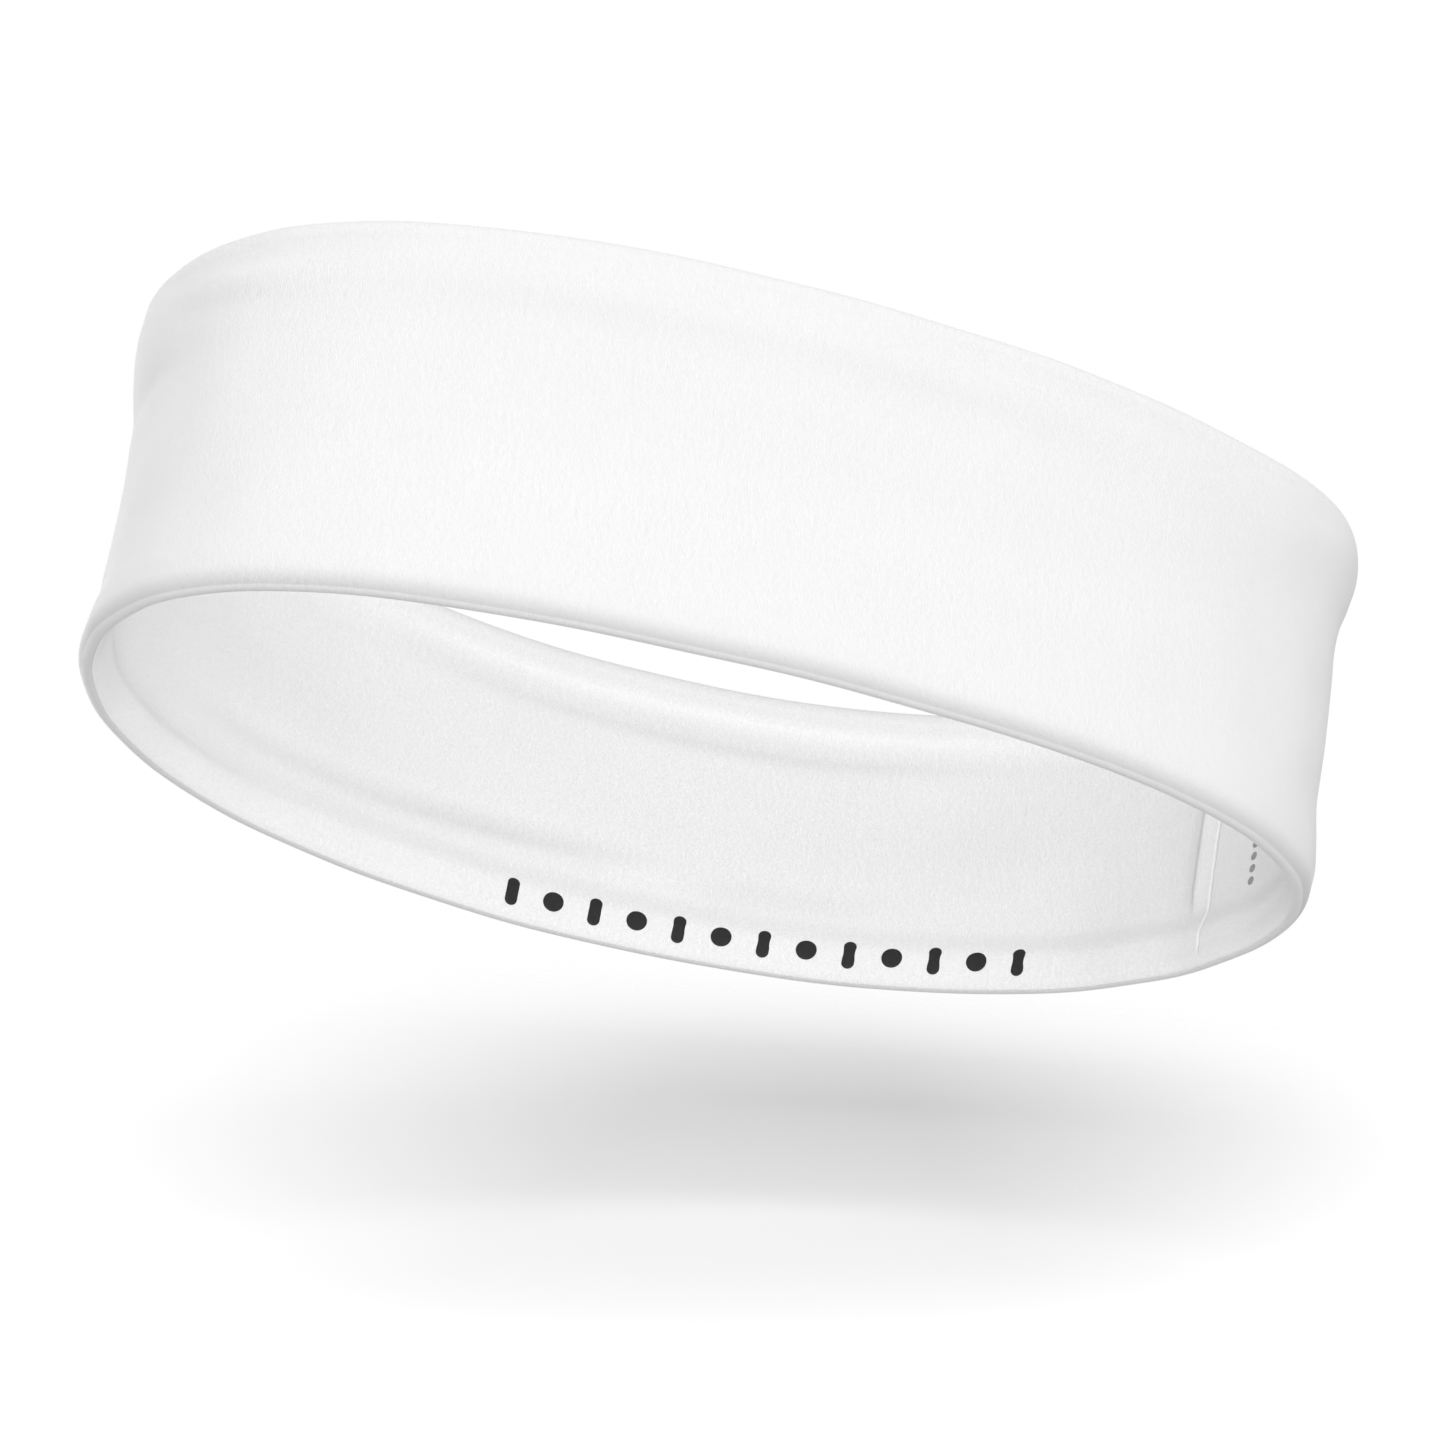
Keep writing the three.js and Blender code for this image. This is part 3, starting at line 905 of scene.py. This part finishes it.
def placeCamera(setup):
    turn, rise = math.radians(setup["azimuth"]), math.radians(setup["elevation"])
    ahead = Vector((math.sin(turn) * math.cos(rise), math.cos(turn) * math.cos(rise), -math.sin(rise)))
    right = Vector((math.cos(turn), -math.sin(turn), 0))
    up = right.cross(ahead)
    roll = math.radians(setup["roll"])
    cameraRight = right * math.cos(roll) + up * math.sin(roll)
    cameraUp = up * math.cos(roll) - right * math.sin(roll)
    target = Vector(setup["target"])
    place = target - ahead * setup["distance"]
    aim = target + cameraRight * setup["aimRight"] + cameraUp * setup["aimUp"]
    look = (aim - place).normalized()
    cameraRight = (cameraRight - look * cameraRight.dot(look)).normalized()
    cameraUp = cameraRight.cross(look)
    data = bpy.data.cameras.new("lowCamera")
    data.sensor_width = 36
    data.lens = setup["lens"]
    data.clip_start = 0.05
    data.clip_end = 50
    camera = addObject("lowCamera", data)
    turnMatrix = Matrix((cameraRight, cameraUp, -look)).transposed().to_4x4()
    camera.matrix_world = Matrix.Translation(place) @ turnMatrix
    bpy.context.scene.camera = camera
    return -look, cameraUp


towardsCamera, viewUp = placeCamera(cameraSetup)
viewRight = viewUp.cross(towardsCamera)
bandMiddle = Vector(cameraSetup["target"])

studio = {
    "stageReach": 6.0,
    "floorWhite": 0.9,
    "floorGlow": 0.34,
    "sweepWhite": 0.65,
    "sweepTilt": 21.8,         # degrees that the sweep turns towards the camera
    "sweepDepth": -0.088,      # how far the sweep lies below the band, along its own normal
    "sweepBehind": 0.14,       # how far it rises behind the band
    "sweepFade": 0.035,        # how wide its upper edge fades in
    "ambientAbove": 0.74,
    "ambientBelow": 0.44,
    "frontDistance": 1.25,
    "backPlace": (-0.45, 0.95, 0.22),
    "backSize": 0.9,
    "backPower": 8.0,
    "paperPower": 110.0,       # lights the sweep only
    "paperSize": 2.9,
    "paperDistance": 2.2,
    "paperForward": 0.9,
}
# Front lights: degrees above the camera's line, how far to the right, size and power.
frontLights = {
    "key": {"rise": 34.0, "toRight": 0.15, "size": 2.0, "power": 10.3},
    "fill": {"rise": 0.0, "toRight": 0.15, "size": 1.6, "power": 4.7},
    "inside": {"rise": 0.0, "toRight": 0.18, "size": 0.4, "power": 10.1},
}


def stageMaterial(name, white, glow=0.0, fadeAlong=None, fadeFrom=0.0):
    # pale paper that is seen only from its front, and may fade in behind one edge
    material = bpy.data.materials.new(name)
    material.use_nodes = True
    tree = material.node_tree
    tree.nodes.clear()
    paper = addNode(tree, "ShaderNodeBsdfPrincipled", (0, 0))
    paper.inputs["Base Color"].default_value = (white, white, white, 1)
    paper.inputs["Roughness"].default_value = 1.0
    paper.inputs["Specular IOR Level"].default_value = 0.0
    paper.inputs["Emission Color"].default_value = (1, 1, 1, 1)
    paper.inputs["Emission Strength"].default_value = glow
    clear = addNode(tree, "ShaderNodeBsdfTransparent", (0, 4))
    hidden = addNode(tree, "ShaderNodeNewGeometry", (0, -3)).outputs["Backfacing"]
    if fadeAlong is not None:
        place = addNode(tree, "ShaderNodeTexCoord", (-6, 2))
        along = addNode(tree, "ShaderNodeVectorMath", (-5, 2), operation="DOT_PRODUCT")
        along.inputs[1].default_value = fadeAlong
        tree.links.new(place.outputs["Object"], along.inputs[0])
        fadeTo = fadeFrom + studio["sweepFade"]
        faded = mapRange(tree, (-4, 2), along.outputs["Value"], fadeFrom, fadeTo, 1.0, 0.0)
        hidden = calc(tree, "MAXIMUM", hidden, faded, (2, -3))
    out = addNode(tree, "ShaderNodeOutputMaterial", (6, 0))
    mixed = mixShaders(tree, (4, 0), paper.outputs[0], clear.outputs[0], hidden)
    tree.links.new(mixed, out.inputs[0])
    return material


def stageSheet(name, corners, material):
    mesh = bpy.data.meshes.new(name)
    mesh.from_pydata(corners, [], [tuple(range(len(corners)))])
    mesh.update()
    mesh.materials.append(material)
    sheet = addObject(name, mesh)
    sheet.visible_shadow = False
    sheet.visible_diffuse = False
    return sheet


reach = studio["stageReach"]
stageSheet(
    "studioFloor",
    [(-reach, -reach, 0), (reach, -reach, 0), (reach, reach, 0), (-reach, reach, 0)],
    stageMaterial("floorPaper", studio["floorWhite"], studio["floorGlow"]),
)

# A second sheet slopes away under the band, so that the low view has something to throw a shadow on.
tilt = math.radians(studio["sweepTilt"])
sweepNormal = viewUp * math.cos(tilt) + towardsCamera * math.sin(tilt)
across = Vector((0, 0, 1)).cross(sweepNormal).normalized()
downhill = sweepNormal.cross(across).normalized()
if downhill.z > 0:
    downhill = -downhill
    across = -across
topEdge = sweepNormal * studio["sweepDepth"] - downhill * studio["sweepBehind"]
corners = [
    topEdge - across * reach,
    topEdge - across * reach + downhill * reach,
    topEdge + across * reach + downhill * reach,
    topEdge + across * reach,
]
normal = (corners[1] - corners[0]).cross(corners[2] - corners[1])
if normal.dot(sweepNormal) < 0:
    corners = corners[::-1]
sweepPaper = stageMaterial(
    "sweepPaper", studio["sweepWhite"], fadeAlong=downhill, fadeFrom=-studio["sweepBehind"]
)
sweep = stageSheet("studioSweep", corners, sweepPaper)


def softWorld():
    # soft light that is stronger from above, and white paper behind everything
    world = bpy.data.worlds.new("studioWorld")
    bpy.context.scene.world = world
    world.use_nodes = True
    tree = world.node_tree
    tree.nodes.clear()
    soft = addNode(tree, "ShaderNodeBackground", (0, 0))
    soft.inputs[0].default_value = (1, 1, 1, 1)
    way = addNode(tree, "ShaderNodeTexCoord", (-6, 0))
    parts = addNode(tree, "ShaderNodeSeparateXYZ", (-4, 0))
    tree.links.new(way.outputs["Generated"], parts.inputs[0])
    above, below = studio["ambientAbove"], studio["ambientBelow"]
    tree.links.new(mapRange(tree, (-2, 0), parts.outputs["Z"], -1.0, 1.0, below, above), soft.inputs[1])
    plain = addNode(tree, "ShaderNodeBackground", (0, 2))
    plain.inputs[0].default_value = (1, 1, 1, 1)
    plain.inputs[1].default_value = 1.0
    path = addNode(tree, "ShaderNodeLightPath", (0, -3))
    out = addNode(tree, "ShaderNodeOutputWorld", (5, 0))
    mixed = mixShaders(tree, (3, 0), soft.outputs[0], plain.outputs[0], path.outputs["Is Camera Ray"])
    tree.links.new(mixed, out.inputs[0])


softWorld()


def softbox(name, place, aim, size, power):
    data = bpy.data.lights.new(name, "AREA")
    data.shape = "SQUARE"
    data.size = size
    data.energy = power
    light = bpy.data.objects.new(name, data)
    light.location = place
    light.rotation_euler = (Vector(aim) - Vector(place)).to_track_quat("-Z", "Y").to_euler()
    light.visible_camera = False
    bpy.context.scene.collection.objects.link(light)
    return light


def collect(name, pieces):
    collection = bpy.data.collections.new(name)
    for piece in pieces:
        collection.objects.link(piece)
    return collection


# The cloth of the near side would shade the far side, so the three front lights are shaded by nothing
# on the band: two of them light the outer ring, the third the inner ring and the prints.
unshaded = collect("unshaded", [sweep])


def frontLight(name, pieces):
    setup = frontLights[name]
    turn = math.radians(setup["rise"])
    way = towardsCamera * math.cos(turn) + viewUp * math.sin(turn) + viewRight * setup["toRight"]
    place = bandMiddle + way.normalized() * studio["frontDistance"]
    light = softbox(name + "Softbox", place, bandMiddle, setup["size"], setup["power"])
    light.light_linking.receiver_collection = collect(name + "Lights", pieces)
    light.light_linking.blocker_collection = unshaded


frontLight("key", [outerRing])
frontLight("fill", [outerRing])
frontLight("inside", insidePieces)
backPlace = bandMiddle + Vector(studio["backPlace"])
softbox("backSoftbox", backPlace, bandMiddle, studio["backSize"], studio["backPower"])

# The sweep has a light of its own, so that the shadow on it stays soft and pale.
way = (sweepNormal + towardsCamera * studio["paperForward"]).normalized() * studio["paperDistance"]
light = softbox("sweepSoftbox", way, (0, 0, 0), studio["paperSize"], studio["paperPower"])
light.light_linking.receiver_collection = collect("sweepOnly", [sweep])

bpy.context.scene.view_settings.view_transform = "Standard"
bpy.context.scene.view_settings.look = "None"
print("stage and lights set")
